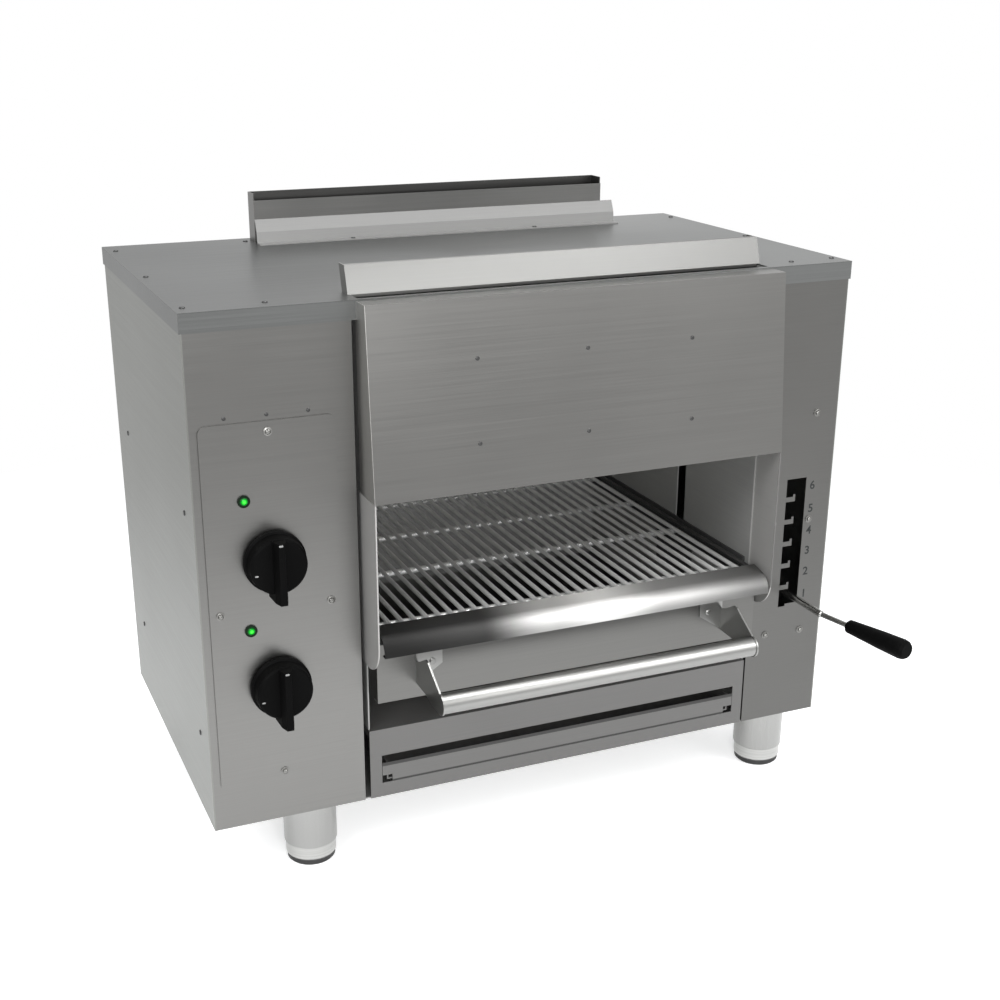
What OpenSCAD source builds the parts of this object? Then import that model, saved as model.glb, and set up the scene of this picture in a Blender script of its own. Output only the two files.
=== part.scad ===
// Countertop gas cheese melter (overhead broiler) with a lever-lifted, pull-out grate.
// Cabinet axes: x from the left side, y back from the front flange, z up from the underside.

/* [Cabinet] */
// Width of the cabinet over its top cover
cabinet_w = 760; // [740:5:820]
// Depth of the cabinet over its top cover
cabinet_d = 427; // [420:1:460]
// Height of the cabinet without its feet
cabinet_h = 557; // [550:1:600]
// Thickness of the outer and inner sheet metal
sheet = 1.5; // [1:0.1:2]
// Height of the fold round the top cover
cover_fold = 20; // [14:1:30]
// Width of the control panel at the left front
control_w = 170.5; // [166:0.5:172]

/* [Feet] */
// Height of the feet, screwed right in
foot_h = 82; // [70:1:110]
// Outer diameter of a foot sleeve
foot_d = 60; // [44:1:70]
// Height of the turning base of a foot
foot_base_h = 24; // [18:1:30]
// Diameter of the foot's screw
foot_screw_d = 12; // [8:1:16]
// Distance from the front, back or right side to a foot's middle
foot_inset = 47.5; // [40:0.5:70]
// Distance from the left side to a left foot's middle
left_foot_x = 118.5; // [100:0.5:130]

/* [Cooking bay] */
// Gap between the control panel and the hood's cheek
bay_gap = 5; // [4.5:0.5:9]
// Width of the cabinet right of the bay, which the lever panel closes
lever_w = 104.5; // [100:0.5:120]
// How far the side guards stand out in front
guard_out = 41.5; // [34:0.5:41.5]
// Height of the underside of the side guards
guard_z = 165; // [150:1:180]
// Radius of the guards' lower front corner
guard_r = 34; // [10:1:34]
// Height of the bay walls' lower edge
wall_z = 84; // [70:1:95]
// Distance from the cabinet's back to the bay's rear wall
rear_wall_back = 23; // [21:1:28]

/* [Hood] */
// How far the hood's top edge stands out
hood_top_out = 25; // [15:1:35]
// How far the hood's bottom edge stands out
hood_low_out = 42; // [36:1:50]
// Height of the hood's bottom edge
hood_z = 357; // [356:1:370]
// Depth of the hood's turned-in bottom hem
hood_hem = 10; // [6:1:14]
// Distance from the hood's face to its inner liner
liner_gap = 12; // [8:1:16]

/* [Vent guard and flue] */
// Height of the front vent guard
guard_h = 28; // [20:1:36]
// How far the vent guard leans back
guard_lean = 9; // [4:1:20]
// Distance from the front to the vent guard
guard_y = 26.5; // [22:0.5:32]
// Depth of the vent guard's end cheeks
guard_cheek = 18; // [12:1:26]
// Height of the flue above the top cover
flue_h = 58; // [42:1:80]
// Height that the flue's front wall stops short of its rear wall
flue_step = 8; // [0:1:12]
// How far the flue stops short of the bay's right side
flue_short = 16; // [4:1:80]
// Front to back size of the flue
flue_d = 26; // [24:1:30]
// Distance from the cabinet's back to the flue
flue_back = 17; // [15:1:20]

/* [Burners] */
// Height of the burners' glowing face
burner_z = 400; // [380:1:420]
// Height of a burner box
burner_h = 50; // [45:1:60]
// Distance from the burners to the bay's rear wall
burner_back = 52; // [42:1:82]
// Distance from a burner to the bay's side wall
burner_side = 14; // [9:1:30]
// Rows of ceramic tiles in a burner
tile_rows = 3; // [2:1:5]
// Columns of ceramic tiles in a burner
tile_columns = 2; // [1:1:3]

/* [Lift] */
// Travel of the grate carriage from the lowest to the highest notch
lift = 139; // [100:1:139]
// Number of lever positions
notches = 6; // [3:1:6]
// Height of a notch
notch_h = 19; // [14:0.5:19.5]
// Depth of a notch beside the channel
notch_w = 12.5; // [10:0.5:14]
// Width of the lever's vertical channel
channel_w = 14; // [12:0.5:16]
// Height of the lever and of the arm pins in the lowest position
lever_z = 158; // [157:0.5:162]
// Diameter of a guide post
post_d = 12; // [8:0.5:14]
// Diameter of the equalizer shaft
shaft_d = 12; // [8:0.5:13]
// Length of an equalizer arm between shaft and pin
arm_l = 220; // [215:1:222]
// Diameter of an arm's pin
pin_d = 10; // [7:0.5:11]

/* [Lever] */
// Distance from the right side to the middle of the lever
lever_in = 45.7; // [44:0.1:48]
// Diameter of the lever rod
rod_d = 8; // [6:0.5:9]
// Length of the rod in front of the panel, up to its bend
rod_out = 60; // [40:1:80]
// Sideways bend of the lever
rod_bend = 12; // [0:1:20]
// Length of the grip
grip_l = 85; // [70:1:110]
// Diameter of the grip at its outer end
grip_d = 23; // [16:0.5:26]

/* [Grate drawer] */
// Height of the grate's top
grate_z = 212; // [206:1:213]
// Diameter of a grate wire
wire_d = 5; // [3:0.5:6]
// Distance between grate wires
wire_pitch = 14.3; // [10:0.2:20]
// Diameter of the bars under the wires
cross_bar_d = 7; // [5:0.5:8]
// Height of the drip lip's lower edge below the grate's top
lip_drop = 23; // [21:0.5:25]
// How far the drip lip stands out in front
lip_out = 45; // [42:1:56]
// Radius of the drip lip's rounded nose
lip_nose = 20; // [16:1:20]
// Height of the apron's lower edge
apron_z = 124.5; // [118:0.5:130]
// Diameter of the handle tube
handle_d = 22; // [16:1:25]
// How far the handle's middle stands out
handle_out = 86; // [78:1:110]
// Height of the handle's middle
handle_z = 147; // [142:1:152]
// Distance between the handle's two brackets
handle_span = 376; // [300:1:420]

/* [Drip tray] */
// Distance from the bay's side wall to the tray's slot
slot_side = 13.5; // [11.5:0.5:28.5]
// Height of the tray's slot
slot_h = 34; // [30:1:38]
// Height of the slot's lower edge
slot_z = 16.7; // [14:0.1:22]
// Height of the tray's front plate
tray_front_h = 24; // [20:1:28]
// Front to back size of the tray
tray_d = 370; // [300:1:380]

/* [Controls] */
// Diameter of a knob
knob_d = 65; // [50:1:70]
// Depth of a knob's disc
knob_h = 20; // [16:1:26]
// Height of the upper knob's middle
upper_knob_z = 299; // [280:1:310]
// Height of the lower knob's middle
lower_knob_z = 159; // [150:1:170]
// Distance of the knobs' middle from the left side
knob_x = 80; // [74:1:86]
// How far a knob can be pushed in
push = 3; // [2:0.5:3]
// Diameter of a tap's stem
stem_d = 10; // [8:0.5:12]
// Height of a lamp above its knob
lamp_up = 66; // [58:1:75]
// Distance of the lamps from the left side
lamp_x = 52.5; // [48:0.5:60]
// Diameter of a lamp's rim
lamp_d = 13; // [10:0.5:16]

/* [Gas connection] */
// Outer diameter of the gas inlet's thread
inlet_d = 21; // [17:0.5:27]
// Length of the gas inlet's thread
inlet_l = 18; // [12:1:30]
// Height of the gas inlet
inlet_z = 60; // [45:1:80]

/* [Hidden] */
$fn = 48;

// Finishes
brushed = [0.66, 0.66, 0.64];
side_steel = [0.72, 0.72, 0.70];
inner_steel = [0.45, 0.45, 0.44];
polished = [0.82, 0.82, 0.81];
black = [0.10, 0.10, 0.10];
green = [0.10, 0.85, 0.20];
brass = [0.75, 0.60, 0.30];
ceramic = [0.87, 0.82, 0.72];

// Clearances
run = 0.05;
slip = 0.5;
seat = 0.3;

// Frame: the origin lies at floor level under the middle of everything
neck_d = 6;
neck_l = 42;
grip_end = 0.38;
lever_reach = rod_out + (neck_l + grip_l) * cos(rod_bend) + grip_end * grip_d * sin(rod_bend);
inlet_hex = 10;
inlet_end = cabinet_d - sheet + inlet_hex + inlet_l;
origin_y = (lever_reach - inlet_end) / 2;
module in_cabinet() translate([-cabinet_w / 2, origin_y, foot_h]) children();

// Levels and faces that several pieces share
front_y = sheet;
panel_back = 2 * sheet;
cover_z = cabinet_h - sheet;
back_y = cabinet_d - 2 * sheet;
bay_x = control_w + bay_gap;
bay_right = cabinet_w - lever_w;
bay_w = bay_right - bay_x;
bay_mid = (bay_x + bay_right) / 2;
wall_left = bay_x + sheet;
wall_right = bay_right - sheet;
inner_left = wall_left + sheet;
inner_right = wall_right - sheet;
rear_wall_y = cabinet_d - rear_wall_back;
pitch = lift / (notches - 1);

// Plates by the plane they lie in; each grows towards the positive axis
module plate_yz(x, t = sheet) translate([x, 0, 0]) rotate([90, 0, 90]) linear_extrude(t) children();
module plate_xz(y, t = sheet) translate([0, y + t, 0]) rotate([90, 0, 0]) linear_extrude(t) children();
module plate_xy(z, t = sheet) translate([0, 0, z]) linear_extrude(t) children();
module rect(x0, y0, x1, y1) translate([x0, y0]) square([x1 - x0, y1 - y0]);
module box(a, b) translate(a) cube(b - a);
module rod_x(x0, x1, y, z, d) translate([x0, y, z]) rotate([0, 90, 0]) cylinder(h = x1 - x0, d = d);
module rod_y(y0, y1, x, z, d) translate([x, y1, z]) rotate([90, 0, 0]) cylinder(h = y1 - y0, d = d);
module rod_z(z0, z1, x, y, d) translate([x, y, z0]) cylinder(h = z1 - z0, d = d);
module both_sides() {
    children();
    translate([2 * bay_mid, 0, 0]) mirror([1, 0, 0]) children();
}
module rounded(x0, y0, x1, y1, r) {
    rect(x0 + r, y0, x1 - r, y1);
    rect(x0, y0 + r, x1, y1 - r);
    for (x = [x0 + r, x1 - r], y = [y0 + r, y1 - r]) translate([x, y]) circle(r);
}

// ---- Cabinet ----
pan_fold = 25;
module base_pan() in_cabinet() color(inner_steel) difference() {
    union() {
        plate_xy(0) rect(2 * sheet, panel_back, cabinet_w - 2 * sheet, back_y);
        for (x = [2 * sheet, cabinet_w - 3 * sheet])
            box([x, panel_back, 0], [x + sheet, back_y, pan_fold]);
    }
    for (x = foot_xs, y = foot_ys) rod_z(-1, sheet + 1, x, y, foot_screw_d + 2 * slip);
}

module side_panel(x) plate_yz(x) rect(front_y, 0, cabinet_d - sheet, cover_z);
module left_side_panel() in_cabinet() color(side_steel) side_panel(sheet);
module right_side_panel() in_cabinet() color(side_steel) side_panel(cabinet_w - 2 * sheet);

inlet_x = knob_x;
gland_x = 140;
gland_d = 20;
louvre_z = 420;
louvre_w = 90;
module back_panel() in_cabinet() color(brushed) plate_xz(back_y) difference() {
    rect(2 * sheet, 0, cabinet_w - 2 * sheet, cover_z);
    translate([inlet_x, inlet_z]) circle(d = inlet_d + 2 * slip);
    translate([gland_x, inlet_z]) circle(d = gland_d + 2 * slip);
    for (x = [bay_mid - bay_w / 4, bay_mid + bay_w / 4], i = [0:5])
        translate([x - louvre_w / 2, louvre_z + 14 * i]) rounded(0, 0, louvre_w, 5, 2.4);
}

vent_y0 = 5.5;
vent_y1 = guard_y + 2 * sheet;
flue_x1 = bay_right - flue_short;
flue_y0 = cabinet_d - flue_back - flue_d;
flue_y1 = cabinet_d - flue_back;
module top_cover() in_cabinet() color(brushed) difference() {
    box([0, 0, cover_z - cover_fold + sheet], [cabinet_w, cabinet_d, cabinet_h]);
    box([sheet, sheet, -1], [cabinet_w - sheet, cabinet_d - sheet, cover_z]);
    box([bay_x, -1, -1], [bay_right, sheet + 1, cover_z]);
    box([inner_left, vent_y0, -1], [inner_right, vent_y1, cabinet_h + 1]);
    box([inner_left, flue_y0 + sheet, -1], [flue_x1 - 2 * sheet, rear_wall_y, cabinet_h + 1]);
}

// ---- Front panels ----
// One window behind the service cover for each tap and its lamp
window_w = 70;
window_under = 25;
window_over = 84;
service_x0 = 11;
service_x1 = 150;
service_z0 = 46;
service_z1 = 445;
module control_panel() in_cabinet() color(brushed) {
    plate_xz(front_y) difference() {
        rect(2 * sheet, 0, control_w, cover_z);
        for (z = [upper_knob_z, lower_knob_z])
            rounded(knob_x - window_w / 2, z - window_under, knob_x + window_w / 2, z + window_over, 6);
    }
    box([control_w - sheet, panel_back, sheet], [control_w, panel_back + 16, cover_z]);
}

bolt_in = 11;
service_bolts = [
    [(service_x0 + service_x1) / 2, service_z1 - bolt_in],
    [(service_x0 + service_x1) / 2, service_z0 + bolt_in],
    [service_x0 + bolt_in, (service_z0 + service_z1) / 2],
    [service_x1 - bolt_in, (service_z0 + service_z1) / 2]
];
lamp_hole = lamp_d - 2.5;
module service_cover() in_cabinet() color(brushed) plate_xz(0) difference() {
    rounded(service_x0, service_z0, service_x1, service_z1, 8);
    for (z = [upper_knob_z, lower_knob_z]) {
        translate([knob_x, z]) circle(d = stem_d + 4);
        translate([lamp_x, z + lamp_up]) circle(d = lamp_hole + 0.2);
    }
}

// The gate: a vertical channel with notches to its left
lever_x = cabinet_w - lever_in;
channel_x0 = lever_x - rod_d / 2 - 0.8;
channel_x1 = channel_x0 + channel_w;
gate_z0 = lever_z - notch_h / 2;
gate_z1 = lever_z + lift + notch_h / 2;
lever_bolts = [
    [lever_x + 16.5, 384], [lever_x + 16.5, 254], [lever_x + 16.5, 111],
    [lever_x - 33, 254], [lever_x - 33, 112]
];
// Each tongue between two notches has a raised tip that keeps the rod in
tip = 3;
module gate_opening() {
    rect(channel_x0, gate_z0, channel_x1, gate_z1);
    for (z = [for (i = [0:notches - 1]) gate_z0 + i * pitch]) {
        rect(channel_x0 - notch_w, z, channel_x0 + 0.01, z + notch_h);
        rect(channel_x0 - notch_w, z - tip, channel_x0 - tip, z + 0.01);
    }
}
module lever_panel() in_cabinet() color(brushed) {
    plate_xz(front_y) difference() {
        rect(bay_right + slip, 0, cabinet_w - 2 * sheet, cover_z);
        gate_opening();
    }
    box([bay_right + slip, panel_back, sheet], [bay_right + slip + sheet, panel_back + 16, cover_z]);
}

base_top = 83;
base_ledge = 60;
module base_front_panel() in_cabinet() color(brushed) {
    plate_xz(front_y) difference() {
        rect(wall_left, 0, wall_right, base_top);
        rect(bay_mid - slot_w / 2, slot_z, bay_mid + slot_w / 2, slot_z + slot_h);
    }
    box([wall_left, panel_back, base_top - sheet], [wall_right, panel_back + base_ledge, base_top]);
}

// ---- Hood ----
hood_rise = cover_z - hood_z;
hood_tilt = atan((hood_low_out - hood_top_out) / hood_rise);
hood_l = hood_rise / cos(hood_tilt);
// The hood's cheeks and top end just behind the front panels
cheek_y = 4;
rivet_span = 124;
rivet_rows = [50.7, hood_l - 61.2];
function face_y(z) = (hood_low_out - hood_top_out) * (z - hood_z) / hood_rise - hood_low_out;
// Local frame of the sloping face: y into the hood, z up along the face
module on_hood_face() translate([0, -hood_low_out, hood_z]) rotate([-hood_tilt, 0, 0]) children();
module hood() in_cabinet() color(brushed) {
    // face, hem and top turned from one strip
    plate_yz(bay_x, bay_w) polygon([
        [-hood_low_out, hood_z], [-hood_top_out, cover_z], [cheek_y, cover_z], [cheek_y, cover_z - sheet],
        [face_y(cover_z - sheet) + sheet, cover_z - sheet], [face_y(hood_z + sheet) + sheet, hood_z + sheet],
        [hood_hem - hood_low_out, hood_z + sheet], [hood_hem - hood_low_out, hood_z]
    ]);
    both_sides() plate_yz(bay_x) polygon([
        [-hood_low_out, hood_z], [-hood_top_out, cover_z], [cheek_y, cover_z], [cheek_y, hood_z]
    ]);
}

// Top-hat liner riveted behind the face
module hood_liner() in_cabinet() color(inner_steel) on_hood_face() difference() {
    box([inner_left + 1, sheet, rivet_rows[0] - 12], [inner_right - 1, liner_gap, rivet_rows[1] + 12]);
    box([inner_left, sheet - 1, rivet_rows[0] + 12],
        [inner_right, liner_gap - sheet, rivet_rows[1] - 12]);
    box([inner_left, 2 * sheet, rivet_rows[0] - 13],
        [inner_right, liner_gap + 1, rivet_rows[0] + 12 - sheet]);
    box([inner_left, 2 * sheet, rivet_rows[1] - 12 + sheet],
        [inner_right, liner_gap + 1, rivet_rows[1] + 13]);
}

// ---- Bay walls ----
lug_half = 8;
shaft_y = back_y - 10;
pin_y_near = shaft_y - arm_l;
post_x = wall_left - 18;
post_y = pin_y_near - 29;
block_h = 40;
burner_pipe_d = 10;
burner_y0 = 42;
left_feed = [burner_y0 + 108, burner_z + burner_h / 2];
right_feed = [burner_y0 + 208, (burner_z + burner_h + cover_z) / 2];
module wall_outline() {
    difference() {
        rect(cheek_y + seat, wall_z, rear_wall_y + sheet, cover_z);
        // way for the carriage's lug
        rect(post_y - lug_half - 2, lever_z - block_h / 2 - 4,
             post_y + lug_half + 2, lever_z + block_h / 2 + lift + 4);
    }
}
module left_bay_wall() in_cabinet() color(inner_steel) plate_yz(wall_left) difference() {
    wall_outline();
    for (p = [left_feed, right_feed]) translate(p) circle(d = burner_pipe_d + 2 * slip);
}
module right_bay_wall() in_cabinet() color(inner_steel) plate_yz(inner_right) wall_outline();
module rear_bay_wall() in_cabinet() color(inner_steel)
    plate_xz(rear_wall_y) rect(inner_left, wall_z, inner_right, cover_z);

// Guards that carry the bay walls' line forward under the hood
guard_back = 28;
module side_guards() in_cabinet() color(brushed) both_sides() plate_yz(bay_x) {
    rect(-guard_out, guard_z + guard_r, guard_back, hood_z - seat);
    rect(guard_r - guard_out, guard_z, guard_back, guard_z + guard_r + 1);
    translate([guard_r - guard_out, guard_z + guard_r]) circle(guard_r);
}

// ---- Vent guard and flue ----
guard_top = cabinet_h + guard_h;
guard_fold = 7;
module front_vent_guard() in_cabinet() color(polished) {
    plate_yz(bay_x, bay_w) polygon([
        [guard_y, cabinet_h], [guard_y + guard_lean, guard_top],
        [guard_y + guard_lean + guard_fold, guard_top],
        [guard_y + guard_lean + guard_fold, guard_top - sheet],
        [guard_y + guard_lean + sheet, guard_top - sheet], [guard_y + sheet, cabinet_h]
    ]);
    both_sides() plate_yz(bay_x) polygon([
        [guard_y, cabinet_h], [guard_y + guard_lean, guard_top],
        [guard_y + guard_lean + guard_cheek, guard_top], [guard_y + guard_cheek, cabinet_h]
    ]);
    // tongue through the cover's slot, folded back under the cover
    plate_yz(inner_left + slip, inner_right - inner_left - 2 * slip) {
        rect(guard_y, cover_z - sheet, guard_y + sheet, cabinet_h + 0.01);
        rect(guard_y, cover_z - sheet, guard_y + 14, cover_z);
    }
}

module flue_box() in_cabinet() color(brushed) difference() {
    box([bay_x, flue_y0, cabinet_h], [flue_x1, flue_y1, cabinet_h + flue_h]);
    box([bay_x + sheet, flue_y0 + sheet, 0], [flue_x1 - sheet, flue_y1 - sheet, cabinet_h + flue_h + 1]);
    box([bay_x - 1, flue_y0 - 1, cabinet_h + flue_h - flue_step],
        [flue_x1 + 1, flue_y0 + sheet, cabinet_h + flue_h + 1]);
}

skirt_h = 28;
skirt_foot = 14;
skirt_y = flue_y0 - 8;
module flue_skirt() in_cabinet() color(brushed) plate_yz(bay_x, bay_w) polygon([
    [skirt_y - skirt_foot, cabinet_h], [skirt_y, cabinet_h],
    [skirt_y + sheet, cabinet_h + skirt_h / 2], [flue_y0, cabinet_h + skirt_h],
    [flue_y0 - sheet, cabinet_h + skirt_h], [skirt_y, cabinet_h + skirt_h / 2],
    [skirt_y - sheet, cabinet_h + sheet], [skirt_y - skirt_foot, cabinet_h + sheet]
]);

// ---- Fasteners and lamps ----
screw_d = 6;
screw_h = 1.2;
// Low dome head: a shallow revolved cap on its seat
module screw_head(d = screw_d, h = screw_h) rotate_extrude() polygon([
    [0, 0], [d / 2, 0], [d / 2, h * 0.4], [d / 2 - h * 0.8, h], [0, h]
]);
screw_in = 10;
cover_screw_y = [25, cabinet_d / 2 - 8.5, cabinet_d - 38];
cover_screw_x = [90, cabinet_w - 66];
side_screw_y = [43, cabinet_d - 69];
side_screw_z = [98, 346];
seam_screws = [38, 80.5, 123];
seam_z = service_z1 + 6;
back_screw_x = [60, 300, cabinet_w - 300, cabinet_w - 60];
back_screw_z = [30, cabinet_h - 37];
module cover_screws() in_cabinet() color(inner_steel) {
    for (x = [screw_in, cabinet_w - screw_in], y = cover_screw_y)
        translate([x, y, cabinet_h]) screw_head();
    for (x = cover_screw_x) translate([x, 22, cabinet_h]) screw_head();
    for (x = [bay_x - 8, bay_right + 8]) translate([x, flue_y1 - 8, cabinet_h]) screw_head();
    for (x = [bay_x + 118, bay_right - 118])
        translate([x, skirt_y - sheet - skirt_foot / 2, cabinet_h + sheet]) screw_head();
    for (y = side_screw_y, z = side_screw_z) {
        translate([sheet, y, z]) rotate([0, -90, 0]) screw_head();
        translate([cabinet_w - sheet, y, z]) rotate([0, 90, 0]) screw_head();
    }
    for (x = [-rivet_span, 0, rivet_span], z = rivet_rows)
        on_hood_face() translate([bay_mid + x, 0, z]) rotate([90, 0, 0]) screw_head(4.5, 1);
    for (x = seam_screws) translate([x, front_y, seam_z]) rotate([90, 0, 0]) screw_head(4, 1);
    for (x = back_screw_x, z = back_screw_z)
        translate([x, back_y + sheet, z]) rotate([-90, 0, 0]) screw_head();
}

// Flanged dome bolts that hold the removable front plates
bolt_d = 9;
module front_bolt() {
    rotate_extrude() polygon([
        [0, 0], [bolt_d / 2, 0], [bolt_d / 2, 0.8], [3, 1.2], [2.6, 2.6], [1.6, 3.4], [0, 3.6]
    ]);
}
module panel_bolts() in_cabinet() color(polished) {
    for (p = service_bolts) translate([p[0], 0, p[1]]) rotate([90, 0, 0]) front_bolt();
    for (p = lever_bolts) translate([p[0], front_y, p[1]]) rotate([90, 0, 0]) front_bolt();
}

lamp_body = 26;
module at_lamps() for (z = [upper_knob_z, lower_knob_z])
    translate([lamp_x, 0, z + lamp_up]) rotate([90, 0, 0]) children();
module lamp_bezels() in_cabinet() color(polished) at_lamps() difference() {
    union() {
        cylinder(h = 1.6, d = lamp_d);
        translate([0, 0, -lamp_body]) cylinder(h = lamp_body, d = lamp_hole);
    }
    translate([0, 0, -4]) cylinder(h = 6, d = lamp_hole - 2);
}
module lamp_lenses() in_cabinet() color(green) at_lamps() rotate_extrude() {
    r = (lamp_hole - 2) / 2 - 0.05;
    polygon([[0, -4], [r, -4], [r, 1.8], [r * 0.8, 2.8], [r * 0.4, 3.4], [0, 3.6]]);
}

// ---- Gas train ----
tap_y0 = 20;
tap_y1 = 60;
tap_d = 34;
tap_bore_end = 46;
manifold_y = 74;
manifold_d = 21;
module gas_taps() in_cabinet() color(brass) for (z = [upper_knob_z, lower_knob_z]) difference() {
    union() {
        rod_y(tap_y0 + 8, tap_y1, knob_x, z, tap_d);
        rod_y(tap_y0, tap_y0 + 8, knob_x, z, tap_d - 12);
    }
    rod_y(tap_y0 - 1, tap_bore_end, knob_x, z, stem_d + 2 * run);
}
module gas_manifold() in_cabinet() color(inner_steel) {
    rod_z(inlet_z - manifold_d / 2, upper_knob_z + 16, knob_x, manifold_y, manifold_d);
    for (z = [upper_knob_z, lower_knob_z]) rod_y(tap_y1, manifold_y, knob_x, z, manifold_d - 1);
    rod_y(manifold_y, back_y - 30, knob_x, inlet_z, manifold_d - 1);
}
module gas_inlet() in_cabinet() color(brass) difference() {
    union() {
        rod_y(back_y - 30, inlet_end, inlet_x, inlet_z, inlet_d);
        translate([inlet_x, back_y, inlet_z]) rotate([90, 0, 0]) cylinder(h = 8, d = inlet_d + 10, $fn = 6);
        translate([inlet_x, back_y + sheet + inlet_hex, inlet_z]) rotate([90, 0, 0])
            cylinder(h = inlet_hex, d = inlet_d + 10, $fn = 6);
    }
    rod_y(back_y - 20, inlet_end + 1, inlet_x, inlet_z, inlet_d - 7);
}

// ---- Burners ----
frame_z = burner_z + 40;
burner_gap = 8;
burner_w = bay_mid - inner_left - burner_gap - burner_side;
burner_d = rear_wall_y - burner_back - burner_y0;
burner_mid = burner_gap + burner_w / 2;
burner_x = [bay_mid - burner_gap - burner_w, bay_mid + burner_gap];
electrode_x = [bay_mid - burner_mid, bay_mid + burner_mid];
electrode_y = 27;
electrode_d = 8;
frame_y0 = 14;
frame_y1 = burner_y0 + burner_d + 18;
module burner_frame() in_cabinet() color(inner_steel) difference() {
    union() {
        plate_xy(frame_z) rect(inner_left, frame_y0, inner_right, frame_y1);
        for (x = [inner_left, inner_right - sheet])
            box([x, frame_y0, frame_z], [x + sheet, frame_y1, frame_z + 20]);
        box([inner_left, frame_y0, frame_z - 22], [inner_right, frame_y0 + sheet, frame_z]);
    }
    for (x = burner_x)
        box([x - slip, burner_y0 - slip, 0], [x + burner_w + slip, burner_y0 + burner_d + slip, cabinet_h]);
    for (x = electrode_x) rod_z(frame_z - 1, frame_z + 3, x, electrode_y, electrode_d + 0.4);
}

tile_h = 12;
burner_wall = 2;
module burner(x) difference() {
    union() {
        box([x, burner_y0, burner_z], [x + burner_w, burner_y0 + burner_d, burner_z + burner_h]);
        box([x - 6, burner_y0 - 6, frame_z + sheet],
            [x + burner_w + 6, burner_y0 + burner_d + 6, frame_z + 2 * sheet]);
    }
    box([x + burner_wall, burner_y0 + burner_wall, burner_z - 1],
        [x + burner_w - burner_wall, burner_y0 + burner_d - burner_wall, burner_z + tile_h]);
    box([x + 10, burner_y0 + 10, burner_z],
        [x + burner_w - 10, burner_y0 + burner_d - 10, burner_z + burner_h - burner_wall]);
}
module left_burner() in_cabinet() color(inner_steel) burner(burner_x[0]);
module right_burner() in_cabinet() color(inner_steel) burner(burner_x[1]);

module burner_tiles() in_cabinet() color(ceramic) {
    w = (burner_w - 2 * burner_wall) / tile_columns;
    d = (burner_d - 2 * burner_wall) / tile_rows;
    for (x = burner_x, i = [0:tile_columns - 1], j = [0:tile_rows - 1])
        box([x + burner_wall + i * w + 0.2, burner_y0 + burner_wall + j * d + 0.2, burner_z + 1],
            [x + burner_wall + (i + 1) * w - 0.2, burner_y0 + burner_wall + (j + 1) * d - 0.2,
             burner_z + tile_h]);
}

// A pipe along a list of corners, with a ball in each bend
module pipe(points, d) for (i = [0:len(points) - 2]) {
    a = points[i];
    b = points[i + 1];
    v = b - a;
    translate(a) rotate([0, acos(v[2] / norm(v)), atan2(v[1], v[0])]) cylinder(h = norm(v), d = d);
    if (i > 0) translate(a) sphere(d = d);
}
module burner_pipes() in_cabinet() color(polished) {
    x = knob_x + tap_d / 2;
    xl = post_x - 34;
    xr = post_x - 13;
    y = (tap_y0 + 8 + tap_y1) / 2;
    pipe([[x, y, upper_knob_z], [xl, y, upper_knob_z], [xl, y, left_feed[1]],
          [xl, left_feed[0], left_feed[1]], [burner_x[0], left_feed[0], left_feed[1]]], burner_pipe_d);
    pipe([[x, y, lower_knob_z], [xr, y, lower_knob_z], [xr, y, right_feed[1]],
          [xr, right_feed[0], right_feed[1]], [electrode_x[1], right_feed[0], right_feed[1]],
          [electrode_x[1], right_feed[0], burner_z + burner_h]], burner_pipe_d);
}

module ignition_electrodes() in_cabinet() color(ceramic) for (x = electrode_x) {
    rod_z(frame_z - 20, frame_z + 22, x, electrode_y, electrode_d);
    rod_z(frame_z + sheet, frame_z + sheet + 4, x, electrode_y, electrode_d + 5);
    rod_z(burner_z - 8, frame_z - 20, x, electrode_y, 2.5);
}

ignition_x = 20;
ignition_y = back_y - 94;
ignition_w = 90;
ignition_d = 60;
ignition_h = 26;
ignition_lid = 8;
ignition_edge = 6;
module ignition_box() in_cabinet() color(black) {
    box([ignition_x, ignition_y, sheet],
        [ignition_x + ignition_w, ignition_y + ignition_d, sheet + ignition_h]);
    box([ignition_x + ignition_edge, ignition_y + ignition_edge, sheet + ignition_h],
        [ignition_x + ignition_w - ignition_edge, ignition_y + ignition_d - ignition_edge,
         sheet + ignition_h + ignition_lid]);
}

module cable_gland() in_cabinet() color(black) difference() {
    union() {
        rod_y(back_y - 10, back_y + sheet + 6, gland_x, inlet_z, gland_d);
        translate([gland_x, back_y + sheet + 6, inlet_z]) rotate([90, 0, 0])
            cylinder(h = 6, d = gland_d + 6, $fn = 6);
        translate([gland_x, back_y, inlet_z]) rotate([90, 0, 0])
            cylinder(h = 5, d = gland_d + 6, $fn = 6);
        translate([gland_x, back_y + sheet + 6, inlet_z]) rotate([-90, 0, 0])
            cylinder(h = 8, d1 = gland_d - 2, d2 = 12);
    }
    rod_y(back_y - 11, back_y + sheet + 15, gland_x, inlet_z, 8);
}

// ---- Lift ----
block_w = 24;
block_y0 = post_y - 15;
arm_drop = lift / 2;
arm_angle = asin(arm_drop / arm_l);
shaft_z = lever_z + arm_drop;
arm_t = 6;
arm_x = post_x - block_w / 2 - 1 - arm_t;
pin_y_far = shaft_y - arm_l * cos(arm_angle);
slot_play = 0.9;
block_y1 = pin_y_far + pin_d / 2 + 5;
post_top = cover_z - 65.5;
post_lug = 10;

module guide_posts() in_cabinet() color(polished) both_sides() {
    rod_z(sheet, post_top, post_x, post_y, post_d);
    rod_z(sheet, sheet + 4, post_x, post_y, post_d + 18);
    rod_z(lever_z - block_h / 2 - 16, lever_z - block_h / 2 - seat, post_x, post_y, post_d + 8);
    box([post_x - post_lug, post_y - post_lug, post_top - post_lug],
        [wall_left, post_y + post_lug, post_top]);
}

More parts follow.
